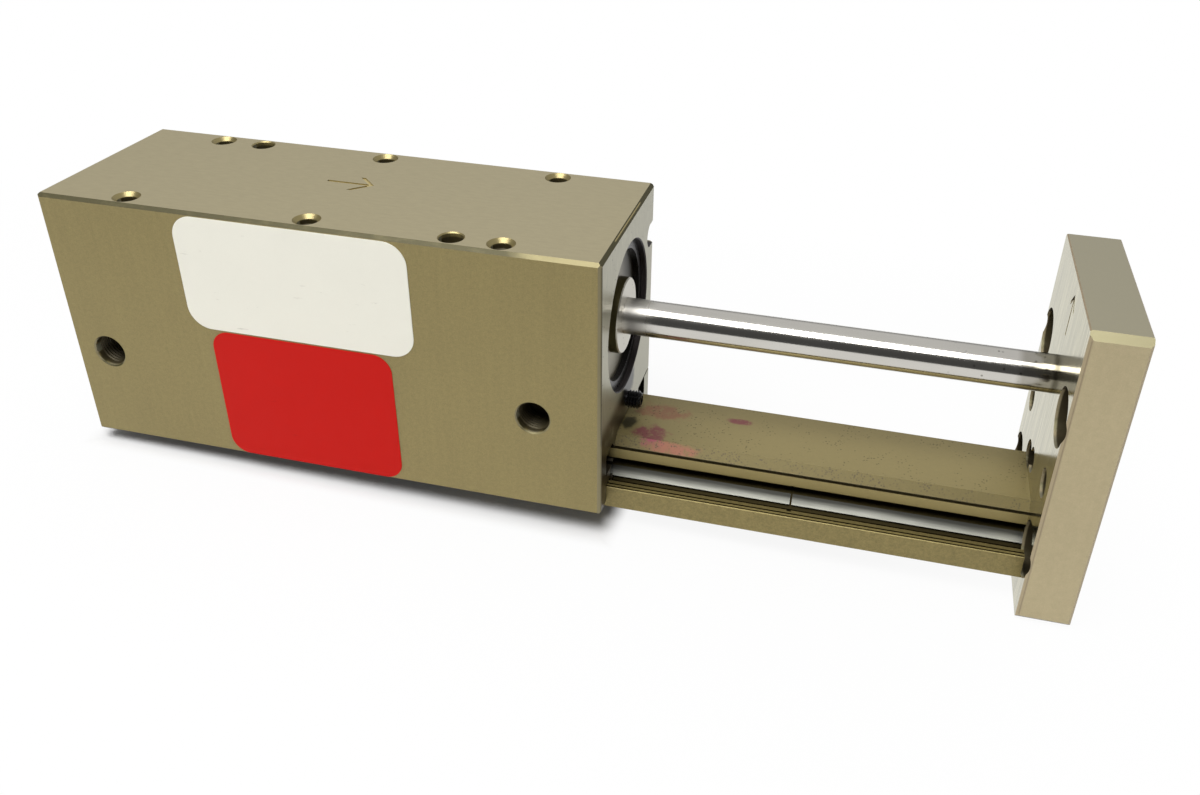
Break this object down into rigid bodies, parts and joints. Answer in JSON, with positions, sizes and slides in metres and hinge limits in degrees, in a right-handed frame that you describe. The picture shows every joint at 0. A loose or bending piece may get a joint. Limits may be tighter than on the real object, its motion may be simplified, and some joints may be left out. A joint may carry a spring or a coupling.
{
  "type": "pneumatic slide table",
  "caption": "Pneumatic slide: a block with a built-in cylinder and crossed-roller ways that pushes a tooling plate out on a rail.",
  "frame": {"origin": "middle of the tapped hole pattern, in the plane of the top mounting face", "axes": "+X the way the carriage extends, +Y across the housing away from the air ports, +Z out of the mounting face"},
  "size_m": [0.2665, 0.054, 0.0811],
  "materials": {
    "body": "nickel-tinted hard anodised, fine sawn grain",
    "way_gib": "nickel-tinted hard anodised",
    "gib_screws": "black oxide",
    "body_ways_front": "ground",
    "body_ways_rear": "ground",
    "cage_stop_screws": "black oxide",
    "stop_screw": "black oxide, oiled",
    "rod_gland": "turned",
    "gland_retaining_ring": "phosphated spring steel",
    "gland_o_ring": "moulded",
    "rod_seal": "moulded",
    "rod_wiper": "moulded",
    "front_bumper": "cast urethane",
    "rear_bumper": "cast urethane",
    "white_label": "printed film, left blank",
    "red_label": "printed film, left blank",
    "tooling_plate": "fine sawn edges, ground faces",
    "carriage_rail": "hard anodised, worn",
    "rail_ways_front": "ground",
    "rail_ways_rear": "ground",
    "cage_stop_plate": "stamped",
    "cage_plate_screws": "black oxide",
    "rail_screws": "black oxide",
    "rail_dowels": "ground",
    "rod_screw": "black oxide",
    "piston_rod": "hard chromed, polished",
    "piston": "turned",
    "piston_seals": "moulded",
    "piston_wear_ring": "moulded",
    "piston_magnet": "plastic-bonded magnet",
    "piston_nut": "plain",
    "roller_cage_front": "stamped",
    "rollers_front": "ground",
    "roller_cage_rear": "stamped",
    "rollers_rear": "ground"
  },
  "bodies": {
    "housing": {"body": "body", "way_gib": "way_gib", "gib_screws": "gib_screws", "body_ways_front": "body_ways_front", "body_ways_rear": "body_ways_rear", "cage_stop_screws": "cage_stop_screws", "stop_screw": "stop_screw", "rod_gland": "rod_gland", "gland_retaining_ring": "gland_retaining_ring", "gland_o_ring": "gland_o_ring", "rod_seal": "rod_seal", "rod_wiper": "rod_wiper", "front_bumper": "front_bumper", "rear_bumper": "rear_bumper", "white_label": "white_label", "red_label": "red_label"},
    "carriage": {"tooling_plate": "tooling_plate", "carriage_rail": "carriage_rail", "rail_ways_front": "rail_ways_front", "rail_ways_rear": "rail_ways_rear", "cage_stop_plate": "cage_stop_plate", "cage_plate_screws": "cage_plate_screws", "rail_screws": "rail_screws", "rail_dowels": "rail_dowels", "rod_screw": "rod_screw", "piston_rod": "piston_rod", "piston": "piston", "piston_seals": "piston_seals", "piston_wear_ring": "piston_wear_ring", "piston_magnet": "piston_magnet", "piston_nut": "piston_nut"},
    "cage_front": {"roller_cage_front": "roller_cage_front", "rollers_front": "rollers_front"},
    "cage_rear": {"roller_cage_rear": "roller_cage_rear", "rollers_rear": "rollers_rear"}
  },
  "joints": [
    {"name": "carriage_slide", "type": "slide", "parent": "housing", "child": "carriage", "axis": [1, 0, 0], "range_m": [-0.1016, 0]},
    {"name": "cage_front_slide", "type": "slide", "parent": "housing", "child": "cage_front", "axis": [1, 0, 0], "range_m": [-0.0508, 0]},
    {"name": "cage_rear_slide", "type": "slide", "parent": "housing", "child": "cage_rear", "axis": [1, 0, 0], "range_m": [-0.0508, 0]}
  ],
  "couplings": [
    {"joint": "cage_front_slide", "follows": "carriage_slide", "ratio": 0.5},
    {"joint": "cage_rear_slide", "follows": "carriage_slide", "ratio": 0.5}
  ]
}
